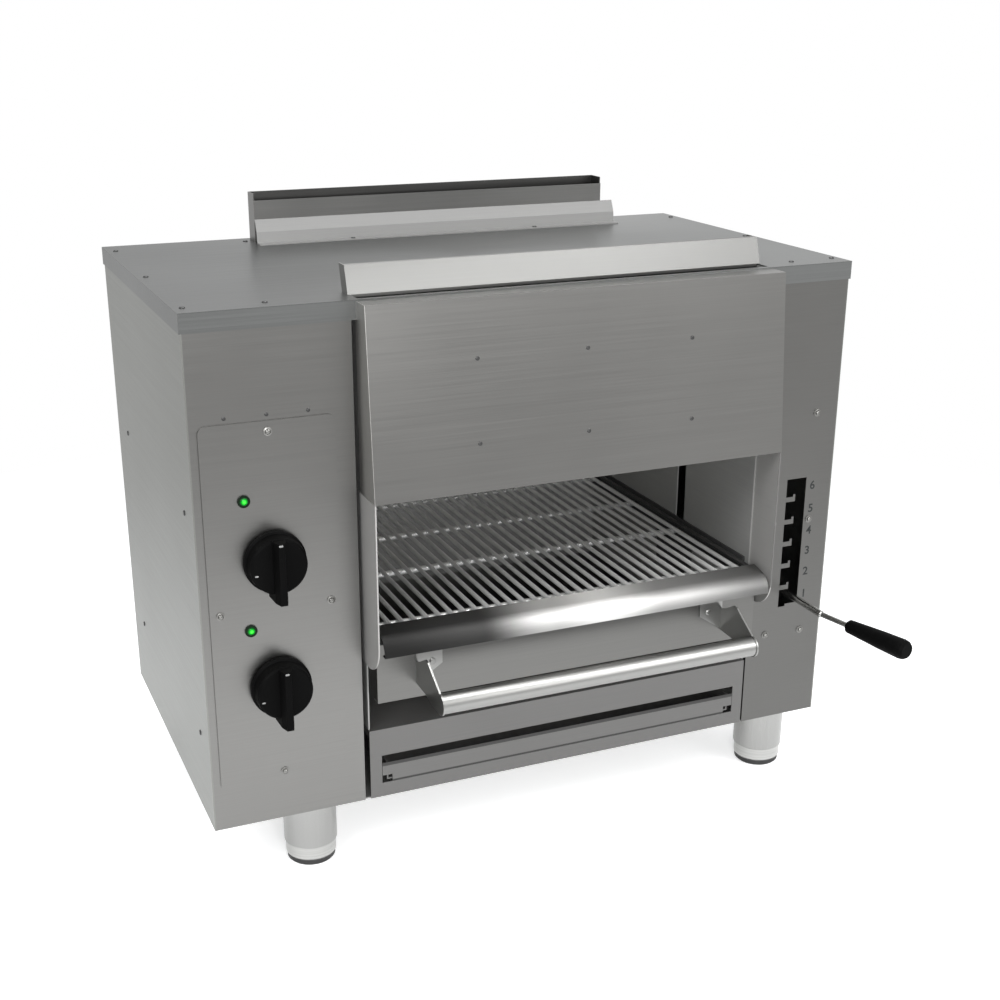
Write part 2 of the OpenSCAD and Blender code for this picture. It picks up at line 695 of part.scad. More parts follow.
module slide_blocks() in_cabinet() color(inner_steel) both_sides() difference() {
    box([post_x - block_w / 2, block_y0, lever_z - block_h / 2],
        [post_x + block_w / 2, block_y1, lever_z + block_h / 2]);
    rod_z(0, cabinet_h, post_x, post_y, post_d + 2 * run);
    box([post_x - block_w / 2 - 1, pin_y_near - pin_d / 2 - 1, lever_z - pin_d / 2 - slot_play],
        [post_x - 2, pin_y_far + pin_d / 2 + 1, lever_z + pin_d / 2 + slot_play]);
}

// Cross shaft with an arm at each end, so that both sides of the carriage rise together
module equalizer_shaft() in_cabinet() color(polished) {
    rod_x(arm_x, 2 * bay_mid - arm_x, shaft_y, shaft_z, shaft_d);
    both_sides() {
        translate([arm_x, shaft_y, shaft_z]) rotate([arm_angle, 0, 0]) plate_yz(0, arm_t) {
            rect(-arm_l, -9, 0, 9);
            circle(d = 18);
            translate([-arm_l, 0]) circle(d = 18);
        }
        rod_x(arm_x + 1, arm_x + arm_t + 10, pin_y_far, lever_z, pin_d);
    }
}

bearing_w = 18;
module shaft_bearings() in_cabinet() color(inner_steel) both_sides() difference() {
    box([post_x - bearing_w / 2, shaft_y - 10, shaft_z - 12], [post_x + bearing_w / 2, back_y, shaft_z + 12]);
    rod_x(post_x - bearing_w / 2 - 1, post_x + bearing_w / 2 + 1, shaft_y, shaft_z, shaft_d + 2 * run);
}

// ---- Grate carriage ----
rail_gap = 0.5;
rail_t = 2;
rail_x = inner_left + rail_gap;
frame_w_half = bay_mid - rail_x - rail_t - slip;
bar_h = 12;
bar_w = 7;
bar_z1 = grate_z - wire_d - 0.05;
ledge_z = bar_z1 - bar_h - seat;
carriage_y0 = 12;
carriage_y1 = rear_wall_y - 8;
tie_t = 3;
bar_z0 = bar_z1 - bar_h;
module carriage_side() {
    plate_yz(rail_x, rail_t) {
        rect(carriage_y0, ledge_z - 4, carriage_y1, grate_z + 2);
        rect(post_y - 35, lever_z - block_h / 2, post_y + 50, ledge_z);
    }
    // ledge that the grate frame slides on
    box([rail_x, carriage_y0, ledge_z - 2], [rail_x + rail_t + bar_w, carriage_y1, ledge_z]);
    // strip over the frame's bar, so that the pulled-out grate can't tip
    box([rail_x, carriage_y0, bar_z1 + seat],
        [rail_x + rail_t + slip + 2, carriage_y1 - tie_t, bar_z1 + seat + sheet]);
    // lug through the bay wall to the slide block
    box([post_x + block_w / 2, post_y - lug_half, lever_z - block_h / 2],
        [rail_x, post_y + lug_half, lever_z + block_h / 2]);
}
module carriage_left_side() in_cabinet() color(inner_steel) carriage_side();
module carriage_right_side() in_cabinet() color(inner_steel)
    translate([2 * bay_mid, 0, 0]) mirror([1, 0, 0]) carriage_side();
module carriage_rear_tie() in_cabinet() color(inner_steel)
    box([rail_x + rail_t, carriage_y1 - tie_t, ledge_z], [2 * bay_mid - rail_x - rail_t, carriage_y1, grate_z]);

// ---- Lever ----
pivot_y = post_y - 55;
eye_h = 13;
eye_d = 18;
pivot_d = 8;
bracket_z = lever_z - eye_h / 2 - seat;
block_right = 2 * bay_mid - post_x - block_w / 2;
module lever_bracket() in_cabinet() color(inner_steel) {
    box([block_right, pivot_y - 12, bracket_z - 3], [lever_x + 12, block_y0, bracket_z]);
    box([block_right, block_y0 - 3, lever_z - block_h / 2], [block_right + block_w, block_y0, bracket_z]);
    rod_z(bracket_z - 1, lever_z + eye_h / 2 + seat + 1, lever_x, pivot_y, pivot_d);
    rod_z(lever_z + eye_h / 2 + seat, lever_z + eye_h / 2 + seat + 3, lever_x, pivot_y, pivot_d + 6);
}

module at_bend() translate([lever_x, -rod_out, lever_z]) rotate([0, 0, rod_bend]) rotate([90, 0, 0]) children();
module lever_rod() in_cabinet() color(polished) difference() {
    union() {
        rod_z(lever_z - eye_h / 2, lever_z + eye_h / 2, lever_x, pivot_y, eye_d);
        rod_y(-rod_out, pivot_y, lever_x, lever_z, rod_d);
        translate([lever_x, -rod_out, lever_z]) sphere(d = rod_d);
        at_bend() cylinder(h = neck_l + 20, d = neck_d);
    }
    rod_z(0, cabinet_h, lever_x, pivot_y, pivot_d + 2 * run);
}
// Turned grip, a little fatter at its outer end
module lever_grip() in_cabinet() color(black) at_bend() translate([0, 0, neck_l]) difference() {
    rotate_extrude() polygon([
        [0, 0], [grip_d * 0.26, 0], [grip_d * 0.34, 2], [grip_d * 0.40, grip_l * 0.3],
        [grip_d * 0.46, grip_l * 0.6], [grip_d / 2, grip_l - 8], [grip_d * 0.47, grip_l - 3],
        [grip_d * grip_end, grip_l], [0, grip_l]
    ]);
    translate([0, 0, -1]) cylinder(h = 21.5, d = neck_d + 2 * run);
}

// ---- Grate drawer ----
drawer_x0 = bay_mid - frame_w_half;
drawer_x1 = bay_mid + frame_w_half;
drawer_y1 = carriage_y1 - 6;
lip_y = -12.5;
wire_y0 = lip_y + 0.5;
apron_y = -17;
cross_bars_y = [8, drawer_y1 - 242, drawer_y1 - 128, drawer_y1 - 14];
// Two flat side bars, and round cross bars fitted between them
module grate_frame() in_cabinet() color(polished) {
    for (x = [drawer_x0, drawer_x1 - bar_w])
        box([x, apron_y + sheet, bar_z0], [x + bar_w, drawer_y1, bar_z1]);
    for (y = cross_bars_y)
        rod_x(drawer_x0 + bar_w + seat, drawer_x1 - bar_w - seat, y, bar_z1 - cross_bar_d / 2, cross_bar_d);
}

wires = floor((2 * frame_w_half - wire_d - 4) / wire_pitch) + 1;
module grate() in_cabinet() color(polished) for (i = [0:wires - 1])
    rod_y(wire_y0, drawer_y1, bay_mid + (i - (wires - 1) / 2) * wire_pitch, grate_z - wire_d / 2, wire_d);

// Sheet lip in front of the wires: a slope that rolls down over a rounded nose
lip_slope = 12;
lip_mid = [lip_nose - lip_out, grate_z - lip_drop + sheet];
function lip_arc(r) = [for (i = [0:13]) lip_mid + r * [-cos(i * (90 - lip_slope) / 13), sin(i * (90 - lip_slope) / 13)]];
function lip_top(r, y) = lip_mid[1] + r / cos(lip_slope) + (y - lip_mid[0]) * tan(lip_slope);
module drip_lip() in_cabinet() color(polished) {
    r = lip_nose;
    // hem, nose and slope
    plate_yz(drawer_x0, 2 * frame_w_half) polygon(concat(
        [[lip_mid[0] - r + 7, lip_mid[1] - sheet], [lip_mid[0] - r, lip_mid[1] - sheet]],
        lip_arc(r), [[lip_y, lip_top(r, lip_y)], [lip_y, lip_top(r - sheet, lip_y)]],
        [for (i = [13:-1:0]) lip_arc(r - sheet)[i]], [[lip_mid[0] - r + 7, lip_mid[1]]]
    ));
    // flange riveted to the apron
    box([drawer_x0, apron_y - sheet, bar_z0 - 2], [drawer_x1, apron_y, grate_z]);
}

module apron() in_cabinet() color(brushed) {
    plate_xz(apron_y) rect(drawer_x0, apron_z, drawer_x1, bar_z1 - 1);
    box([drawer_x0, apron_y + sheet, apron_z], [drawer_x1, apron_y + 12, apron_z + sheet]);
}

bracket_t = 2;
tube_x0 = bay_mid - handle_span / 2;
bracket_top = 181;
bracket_foot = 141;
bracket_flange = 28;
// Gooseneck plates from the apron to the tube's ends, each with a flange and its screw
module handle_brackets() in_cabinet() color(polished) both_sides() {
    plate_yz(tube_x0 - bracket_t, bracket_t) {
        polygon([
            [apron_y, bracket_foot], [apron_y, bracket_foot + 25], [-30, bracket_top - 9],
            [-44, bracket_top - 1], [-52, bracket_top - 1], [-66, bracket_top - 10],
            [-handle_out, handle_z + handle_d / 2 + 1], [-handle_out, handle_z - handle_d / 2 - 1],
            [-64, bracket_foot - 5], [-45, bracket_foot - 1]
        ]);
        translate([-handle_out, handle_z]) circle(d = handle_d + 2);
    }
    plate_xz(apron_y - sheet) polygon([
        [tube_x0 - bracket_t, bracket_foot], [tube_x0 + bracket_flange, bracket_foot + 20],
        [tube_x0 + bracket_flange, bracket_top], [tube_x0 - bracket_t, bracket_top]
    ]);
    translate([tube_x0 + 16.5, apron_y - sheet, 165]) rotate([90, 0, 0]) screw_head(7, 1.5);
}
module handle_tube() in_cabinet() color(polished) difference() {
    rod_x(tube_x0, tube_x0 + handle_span, -handle_out, handle_z, handle_d);
    rod_x(tube_x0 + 1.5, tube_x0 + handle_span - 1.5, -handle_out, handle_z, handle_d - 4);
}

// ---- Drip tray ----
tray_z = 19.5;
tray_in = 6;
tray_wall = 1.5;
slot_w = wall_right - wall_left - 2 * slot_side;
tray_top = slot_z + slip + tray_front_h;
corner_w = 12;
corner_h = 9;
module drip_tray() in_cabinet() color(brushed) {
    x0 = bay_mid - slot_w / 2;
    x1 = bay_mid + slot_w / 2;
    plate_xz(front_y) difference() {
        rect(x0 + slip, slot_z + slip, x1 - slip, tray_top);
        rect(x0, slot_z, x0 + corner_w, slot_z + corner_h);
        rect(x1 - corner_w, slot_z, x1, slot_z + corner_h);
    }
    difference() {
        box([x0 + tray_in, panel_back, tray_z], [x1 - tray_in, panel_back + tray_d, tray_top]);
        box([x0 + tray_in + tray_wall, panel_back, tray_z + tray_wall],
            [x1 - tray_in - tray_wall, panel_back + tray_d - tray_wall, tray_top + 1]);
    }
}
module tray_runners() in_cabinet() color(inner_steel)
    for (x = [bay_mid - slot_w / 2 + 20, bay_mid + slot_w / 2 - 32]) difference() {
        box([x, 12, sheet], [x + 12, panel_back + tray_d, tray_z - seat]);
        box([x + sheet, 11, 0], [x + 12 - sheet, panel_back + tray_d + 1, tray_z - seat - sheet]);
    }

// ---- Controls ----
knob_gap = 0.5;
knob_back = -push - knob_gap;
stem_in = 12;
module stem(z) rod_y(knob_back - stem_in, tap_bore_end - push - 3, knob_x, z, stem_d);
module upper_stem() in_cabinet() color(inner_steel) stem(upper_knob_z);
module lower_stem() in_cabinet() color(inner_steel) stem(lower_knob_z);

// Skirted disc with a grip bar across it, whose lower end is the pointer
bar_h_knob = 12;
bar_w_knob = 15;
nib = 5;
module knob(z) translate([knob_x, knob_back, z]) rotate([90, 0, 0]) difference() {
    union() {
        rotate_extrude() polygon([
            [0, 0], [knob_d / 2, 0], [knob_d / 2, 4], [knob_d / 2 - 2, 5.5],
            [knob_d / 2 - 3, knob_h - 2], [knob_d / 2 - 5, knob_h], [0, knob_h]
        ]);
        // grip bar: flanks lean in towards its crest
        translate([0, -knob_d / 2 - nib, 0]) rotate([-90, 0, 0]) linear_extrude(knob_d + nib - 4)
            polygon([
                [-bar_w_knob / 2, 0], [bar_w_knob / 2, 0], [bar_w_knob / 2 - 1, -knob_h - 2],
                [bar_w_knob / 2 - 4, -knob_h - bar_h_knob], [4 - bar_w_knob / 2, -knob_h - bar_h_knob],
                [1 - bar_w_knob / 2, -knob_h - 2]
            ]);
    }
    translate([0, 0, -1]) cylinder(h = stem_in + 1 + 0.3, d = stem_d + 2 * run);
}
module upper_knob() in_cabinet() color(black) knob(upper_knob_z);
module lower_knob() in_cabinet() color(black) knob(lower_knob_z);

// ---- Feet ----
foot_xs = [left_foot_x, cabinet_w - foot_inset];
foot_ys = [foot_inset, cabinet_d - foot_inset];
sleeve_h = foot_h - foot_base_h;
sleeve_wall = 2.5;
nut_h = 20;
module foot_sleeves() in_cabinet() color(polished) for (x = foot_xs, y = foot_ys) difference() {
    rod_z(-sleeve_h, 0, x, y, foot_d);
    rod_z(nut_h - sleeve_h, -sheet, x, y, foot_d - 2 * sleeve_wall);
    rod_z(-sleeve_h - 1, 1, x, y, foot_screw_d + 2 * run);
}
module foot(x, y) translate([x, y, -foot_h]) {
    rotate_extrude() polygon([
        [0, 0], [foot_d / 2 - 5, 0], [foot_d / 2 - 3, 2], [foot_d / 2 - 3, 7], [foot_d / 2 - 1.5, 9],
        [foot_d / 2 - 1.5, foot_base_h - 1], [foot_d / 2 - 2.5, foot_base_h - seat], [0, foot_base_h - seat]
    ]);
    cylinder(h = foot_h - 6, d = foot_screw_d);
}
module front_left_foot() in_cabinet() color(polished) foot(foot_xs[0], foot_ys[0]);
module front_right_foot() in_cabinet() color(polished) foot(foot_xs[1], foot_ys[0]);
module rear_left_foot() in_cabinet() color(polished) foot(foot_xs[0], foot_ys[1]);
module rear_right_foot() in_cabinet() color(polished) foot(foot_xs[1], foot_ys[1]);

base_pan();
left_side_panel();
right_side_panel();
back_panel();
top_cover();
control_panel();
service_cover();
lever_panel();
base_front_panel();
hood();
hood_liner();
side_guards();
left_bay_wall();
right_bay_wall();
rear_bay_wall();
burner_frame();
front_vent_guard();
flue_box();
flue_skirt();
cover_screws();
panel_bolts();
lamp_bezels();
lamp_lenses();
gas_taps();
gas_manifold();
gas_inlet();
left_burner();
right_burner();
burner_tiles();
burner_pipes();
ignition_electrodes();
ignition_box();
cable_gland();
guide_posts();
shaft_bearings();
tray_runners();
foot_sleeves();
front_left_foot();
front_right_foot();
rear_left_foot();
rear_right_foot();
equalizer_shaft();
carriage_left_side();
carriage_right_side();
carriage_rear_tie();
slide_blocks();
lever_bracket();
lever_rod();
lever_grip();
grate_frame();
grate();
drip_lip();
apron();
handle_brackets();
handle_tube();
drip_tray();
upper_stem();
upper_knob();
lower_stem();
lower_knob();
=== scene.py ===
import math

import bmesh
import bpy
from mathutils import Matrix, Vector


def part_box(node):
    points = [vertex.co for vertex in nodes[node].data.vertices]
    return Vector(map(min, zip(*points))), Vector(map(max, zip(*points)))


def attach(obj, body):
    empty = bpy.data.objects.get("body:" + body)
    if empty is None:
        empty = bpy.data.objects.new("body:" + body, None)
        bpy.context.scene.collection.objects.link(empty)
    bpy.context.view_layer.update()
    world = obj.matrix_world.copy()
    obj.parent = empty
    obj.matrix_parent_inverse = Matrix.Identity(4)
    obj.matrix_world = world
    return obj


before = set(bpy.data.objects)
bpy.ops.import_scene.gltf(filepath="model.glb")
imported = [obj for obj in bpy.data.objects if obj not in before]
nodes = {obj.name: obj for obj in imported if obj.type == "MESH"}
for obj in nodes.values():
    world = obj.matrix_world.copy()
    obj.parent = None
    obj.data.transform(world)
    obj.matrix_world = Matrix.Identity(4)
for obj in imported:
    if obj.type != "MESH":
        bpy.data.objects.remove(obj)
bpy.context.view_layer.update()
scene = bpy.context.scene

# Cabinet millimetres (front left lower corner) to the row frame in metres
ORIGIN = Vector((380.0, 133.73, -82.0))


def at(x, y, z):
    return (Vector((x, y, z)) - ORIGIN) / 1000.0


# ---- Camera, solved from the photograph's perspective ----
PHOTO_PIXELS = 1000.0
FOCAL_PIXELS = 1463.5
SENSOR_MM = 36.0
CAMERA_YAW = math.radians(22.769)
CAMERA_PITCH = math.radians(20.322)
CAMERA_SHIFT = (0.0218, 0.0421)
CAMERA_AT = at(-265.1, -1358.3, 831.4)


def make_camera():
    forward = Vector((math.sin(CAMERA_YAW) * math.cos(CAMERA_PITCH),
                      math.cos(CAMERA_YAW) * math.cos(CAMERA_PITCH),
                      -math.sin(CAMERA_PITCH)))
    right = Vector((math.cos(CAMERA_YAW), -math.sin(CAMERA_YAW), 0.0))
    up = right.cross(forward)
    data = bpy.data.cameras.new("camera")
    data.sensor_width = SENSOR_MM
    data.lens = FOCAL_PIXELS * SENSOR_MM / PHOTO_PIXELS
    data.shift_x, data.shift_y = CAMERA_SHIFT
    data.clip_start = 0.05
    data.clip_end = 50.0
    obj = bpy.data.objects.new("camera", data)
    scene.collection.objects.link(obj)
    m = Matrix((right, up, -forward)).transposed().to_4x4()
    m.translation = CAMERA_AT
    obj.matrix_world = m
    scene.camera = obj


# ---- Node helpers ----
def new_material(name):
    m = bpy.data.materials.new(name)
    m.use_nodes = True
    nt = m.node_tree
    nt.nodes.clear()
    out = nt.nodes.new("ShaderNodeOutputMaterial")
    bsdf = nt.nodes.new("ShaderNodeBsdfPrincipled")
    nt.links.new(bsdf.outputs[0], out.inputs[0])
    return m, nt, bsdf


def shader_of(m):
    return next(n for n in m.node_tree.nodes if n.type == "BSDF_PRINCIPLED")


def calc(nt, operation, *values):
    """One Math node; a value is a socket or a plain number."""
    n = nt.nodes.new("ShaderNodeMath")
    n.operation = operation
    for socket, value in zip(n.inputs, values):
        if isinstance(value, float):
            socket.default_value = value
        else:
            nt.links.new(value, socket)
    return n.outputs[0]


def coords(nt, scale=(1, 1, 1)):
    """Object coordinates: metres of the row frame, fixed to the piece."""
    tc = nt.nodes.new("ShaderNodeTexCoord")
    mp = nt.nodes.new("ShaderNodeMapping")
    mp.inputs["Scale"].default_value = scale
    nt.links.new(tc.outputs["Object"], mp.inputs["Vector"])
    return mp.outputs["Vector"]


def position(nt, axis):
    xyz = nt.nodes.new("ShaderNodeSeparateXYZ")
    nt.links.new(coords(nt), xyz.inputs[0])
    return xyz.outputs[axis]


def noise(nt, vector, scale, detail=2.0, rough=0.5):
    n = nt.nodes.new("ShaderNodeTexNoise")
    n.inputs["Scale"].default_value = scale
    n.inputs["Detail"].default_value = detail
    n.inputs["Roughness"].default_value = rough
    nt.links.new(vector, n.inputs["Vector"])
    return n.outputs["Fac"]


def ramp(nt, value, lo, hi, start=0.25, end=0.75):
    """Run from lo to hi while the value runs from start to end."""
    r = nt.nodes.new("ShaderNodeMapRange")
    r.inputs["From Min"].default_value = start
    r.inputs["From Max"].default_value = end
    r.inputs["To Min"].default_value = lo
    r.inputs["To Max"].default_value = hi
    nt.links.new(value, r.inputs["Value"])
    return r.outputs["Result"]


def colour_ramp(nt, value, stops, interpolation="LINEAR"):
    """Colours at positions from 0 to 1."""
    r = nt.nodes.new("ShaderNodeValToRGB")
    r.color_ramp.interpolation = interpolation
    e = r.color_ramp.elements
    while len(e) < len(stops):
        e.new(0.5)
    for i, (place, c) in enumerate(stops):
        e[i].position = place
        e[i].color = tuple(c) + (1.0,)
    nt.links.new(value, r.inputs["Fac"])
    return r.outputs["Color"]


def mix_colour(nt, factor, at_zero, at_one):
    """From a plain colour to a socket's colour."""
    mix = nt.nodes.new("ShaderNodeMix")
    mix.data_type = "RGBA"
    nt.links.new(factor, mix.inputs[0])
    mix.inputs[6].default_value = at_zero + (1.0,)
    nt.links.new(at_one, mix.inputs[7])
    return mix.outputs[2]


def bump(nt, bsdf, height, strength, distance):
    b = nt.nodes.new("ShaderNodeBump")
    b.inputs["Strength"].default_value = strength
    b.inputs["Distance"].default_value = distance
    nt.links.new(height, b.inputs["Height"])
    nt.links.new(b.outputs["Normal"], bsdf.inputs["Normal"])


# ---- Materials ----
GRAIN = {"x": (6, 900, 900), "y": (900, 6, 900), "z": (900, 900, 6)}


def brushed(name, colour, grain, rough=0.34, spread=0.05, contrast=0.06, aniso=0.5, metal=1.0):
    """Brushed sheet: fine streaks along one axis, with faint broad smudges."""
    m, nt, bsdf = new_material(name)
    streak = noise(nt, coords(nt, GRAIN[grain]), 1.0, 3.0, 0.6)
    smudge = ramp(nt, noise(nt, coords(nt), 5.0, 3.0), 0.0, 0.25, 0.2, 0.8)
    both = calc(nt, "MULTIPLY_ADD", streak, 0.75, smudge)
    c = Vector(colour)
    nt.links.new(colour_ramp(nt, both, [(0.25, c * (1 - contrast)), (0.75, c * (1 + contrast))]),
                 bsdf.inputs["Base Color"])
    nt.links.new(ramp(nt, both, rough - spread, rough + spread), bsdf.inputs["Roughness"])
    bsdf.inputs["Metallic"].default_value = metal
    bsdf.inputs["Anisotropic"].default_value = aniso
    bump(nt, bsdf, streak, 0.12, 0.00008)
    return m


def polished(name, colour, rough, spread=0.05, metal=1.0):
    """Smooth metal with a faint cloud in its colour and gloss."""
    m, nt, bsdf = new_material(name)
    cloud = noise(nt, coords(nt), 40.0, 3.0, 0.6)
    c = Vector(colour)
    tone = colour_ramp(nt, cloud, [(0.3, c * 0.93), (0.7, c * 1.04)])
    nt.links.new(tone, bsdf.inputs["Base Color"])
    nt.links.new(ramp(nt, cloud, rough - spread, rough + spread), bsdf.inputs["Roughness"])
    bsdf.inputs["Metallic"].default_value = metal
    bump(nt, bsdf, cloud, 0.05, 0.0001)
    return m


def plastic(name, colour, fine=900.0, depth=0.15, shine=0.4):
    """Moulded plastic or paint with a fine grain."""
    m, nt, bsdf = new_material(name)
    grain = noise(nt, coords(nt), fine, 2.0, 0.6)
    cloud = noise(nt, coords(nt), 18.0)
    c = Vector(colour)
    tone = colour_ramp(nt, cloud, [(0.3, c * 0.8), (0.7, c * 1.25)])
    nt.links.new(tone, bsdf.inputs["Base Color"])
    nt.links.new(ramp(nt, cloud, 0.44, 0.56), bsdf.inputs["Roughness"])
    bsdf.inputs["Specular IOR Level"].default_value = shine
    bump(nt, bsdf, grain, depth, 0.0002)
    return m


def ceramic(name):
    """Burner tile: pale ceramic with rows of small flame holes."""
    m, nt, bsdf = new_material(name)
    cell = nt.nodes.new("ShaderNodeTexVoronoi")
    cell.inputs["Scale"].default_value = 240.0
    cell.inputs["Randomness"].default_value = 0.0
    nt.links.new(coords(nt, (1, 1, 0.0001)), cell.inputs["Vector"])
    around = ramp(nt, cell.outputs["Distance"], 0.0, 1.0, 0.22, 0.30)
    cloud = noise(nt, coords(nt), 25.0, 3.0, 0.6)
    pale = colour_ramp(nt, cloud, [(0.3, (0.72, 0.66, 0.56)), (0.7, (0.86, 0.81, 0.72))])
    nt.links.new(mix_colour(nt, around, (0.10, 0.08, 0.06), pale), bsdf.inputs["Base Color"])
    bsdf.inputs["Roughness"].default_value = 0.8
    bump(nt, bsdf, around, 0.4, 0.0008)
    return m


# The lamps' axes, in cabinet millimetres
LAMP_X = 52.5
LAMP_HEIGHTS = (225.0, 365.0)


def lamp_green(name):
    """Green lens, dark at its edge, with a bright spot where the lamp sits behind it."""
    m, nt, bsdf = new_material(name)
    flat = coords(nt, (1, 0, 1))
    distances = []
    for z in LAMP_HEIGHTS:
        d = nt.nodes.new("ShaderNodeVectorMath")
        d.operation = "DISTANCE"
        nt.links.new(flat, d.inputs[0])
        spot = at(LAMP_X, 0, z)
        d.inputs[1].default_value = (spot.x, 0, spot.z)
        distances.append(d.outputs["Value"])
    edge = ramp(nt, calc(nt, "MINIMUM", *distances), 0.0, 1.0, 0.0006, 0.0042)
    facets = noise(nt, coords(nt), 500.0, 1.0)
    glow = colour_ramp(nt, calc(nt, "MULTIPLY_ADD", facets, 0.12, edge), [
        (0.05, (0.06, 0.95, 0.05)), (0.5, (0.0, 0.30, 0.012)), (0.95, (0.0, 0.05, 0.006))])
    nt.links.new(glow, bsdf.inputs["Base Color"])
    nt.links.new(glow, bsdf.inputs["Emission Color"])
    bsdf.inputs["Roughness"].default_value = 0.3
    bsdf.inputs["Specular IOR Level"].default_value = 0.15
    bsdf.inputs["Emission Strength"].default_value = 0.35
    bump(nt, bsdf, facets, 0.2, 0.0005)
    return m


def foot_base(name):
    """Turned foot: bright metal above a black pad 7 mm high."""
    m, nt, bsdf = new_material(name)
    metal = ramp(nt, position(nt, "Z"), 0.0, 1.0, 0.0068, 0.0074)
    turned = noise(nt, coords(nt, (5, 5, 1800)), 1.0, 2.0, 0.6)
    steel = colour_ramp(nt, turned, [(0.3, (0.36, 0.36, 0.35)), (0.7, (0.48, 0.48, 0.47))])
    nt.links.new(mix_colour(nt, metal, (0.015, 0.015, 0.015), steel), bsdf.inputs["Base Color"])
    nt.links.new(metal, bsdf.inputs["Metallic"])
    nt.links.new(ramp(nt, metal, 0.6, 0.26, 0.0, 1.0), bsdf.inputs["Roughness"])
    bump(nt, bsdf, turned, 0.1, 0.0001)
    return m


# ---- Changes of tone across a piece, fixed to it ----
def tint(m, value, lo, hi):
    """Multiply a material's colour by a value that runs from lo to hi."""
    nt = m.node_tree
    bsdf = shader_of(m)
    old = bsdf.inputs["Base Color"].links[0].from_socket
    scaled = nt.nodes.new("ShaderNodeVectorMath")
    scaled.operation = "SCALE"
    nt.links.new(old, scaled.inputs[0])
    nt.links.new(ramp(nt, value, lo, hi, 0.0, 1.0), scaled.inputs["Scale"])
    nt.links.new(scaled.outputs[0], bsdf.inputs["Base Color"])
    return m


def shaded(m, axis, span, at_low, at_high):
    """Paint light and shade on a large sheet: let it go slowly darker or lighter along one axis.
    """
    nt = m.node_tree
    return tint(m, ramp(nt, position(nt, axis), 0.0, 1.0, *span), at_low, at_high)


def banded(m, span, stops):
    """Let a piece's colour follow stops along X: painted light, shade and reflection."""
    nt = m.node_tree
    along = ramp(nt, position(nt, "X"), 0.0, 1.0, *span)
    return tint(m, colour_ramp(nt, along, [(p, (v, v, v)) for p, v in stops], "EASE"), 0.0, 1.0)


def darkened(m, axes, low, high, factor):
    """Darken what lies between two corners, along the axes named: painted shade."""
    nt = m.node_tree
    inside = None
    for axis in axes:
        k = "XYZ".index(axis)
        p = position(nt, axis)
        above = calc(nt, "GREATER_THAN", p, low[k])
        below = calc(nt, "LESS_THAN", p, high[k])
        part = calc(nt, "MULTIPLY", above, below)
        inside = part if inside is None else calc(nt, "MULTIPLY", inside, part)
    return tint(m, inside, 1.0, factor)


def along_x(m):
    """Grain along X: reflections spread across it."""
    nt = m.node_tree
    bsdf = shader_of(m)
    t = nt.nodes.new("ShaderNodeCombineXYZ")
    t.inputs[0].default_value = 1.0
    nt.links.new(t.outputs[0], bsdf.inputs["Tangent"])
    bsdf.inputs["Anisotropic Rotation"].default_value = 0.25
    return m


def shade_edges(m):
    """Shade the lowest and highest strips of the drip tray's front sheet."""
    x, y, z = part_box("drip_tray")[0]
    for low, high in ((-0.0001, 0.0018), (0.0200, 0.0250)):
        darkened(m, "YZ", (x, y - 0.0001, z + low), (x, y + 0.0016, z + high), 0.3)
    return m


FRONT = (0.207, 0.205, 0.198)
SIDE = (0.275, 0.28, 0.265)
TOP = (0.195, 0.20, 0.198)
BASE = (0.118, 0.116, 0.113)
WIRE = (0.74, 0.74, 0.73)

# Inside of the flue, halfway through its sheet, where shade is painted
FLUE_LOW = at(176.2, 384.7, 0)
FLUE_HIGH = at(638.8, 409.3, 0)
HOOD_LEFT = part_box("hood")[0][0]
COVER_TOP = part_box("top_cover")[1][2]
GUARD_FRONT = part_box("side_guards")[0][1]
FRAME_LOW, FRAME_HIGH = (corner[0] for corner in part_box("grate_frame"))

# Spans in metres of the row frame over which painted light and shade change a tone
HOOD_X = (-0.20, 0.25)
HOOD_CHEEK_X = (HOOD_LEFT + 0.0002, HOOD_LEFT + 0.0004)
BAY_X = (-0.20, 0.27)
COVER_X = (-0.38, 0.30)
COVER_FOLD_Z = (COVER_TOP - 0.0012, COVER_TOP - 0.0008)
PANEL_Z = (0.10, 0.62)
GATE_Z = (0.15, 0.45)
# Corners around the front edge of the right side guard, where shade is painted
RIGHT_GUARD_LOW = (0.0, GUARD_FRONT - 0.0001, 0.0)
RIGHT_GUARD_HIGH = (0.38, GUARD_FRONT + 0.0005, 0.0)

# Place along X from 0 to 1, and how bright the painted light, shade and reflection make the
# piece there
# Drip lip: a painted reflection, dark at the left and a bright patch in the middle
LIP_STOPS = [(0.0, 0.03), (0.24, 0.055), (0.42, 0.6), (0.55, 1.0), (0.72, 0.45), (1.0, 0.20)]
# Grate: painted light growing towards the right, and painted shade on the outermost wires at the
# right
WIRE_STOPS = [(0.0, 0.75), (0.5, 0.85), (0.95, 1.0), (0.98, 0.08)]
# Grate frame: painted shade on the side bars at both ends, painted light between them that falls
# off towards the right
FRAME_STOPS = [(0.02, 0.08), (0.03, 1.0), (0.6, 0.55), (0.97, 0.5), (0.98, 0.05)]


def base_steel(name):
    return brushed(name, BASE, "x", 0.36, metal=0.5)


def wall_steel(name, colour, grain):
    """Dull sheet inside the bay and the cabinet."""
    return brushed(name, colour, grain, 0.5, 0.06, 0.10, 0.2, metal=0.45)


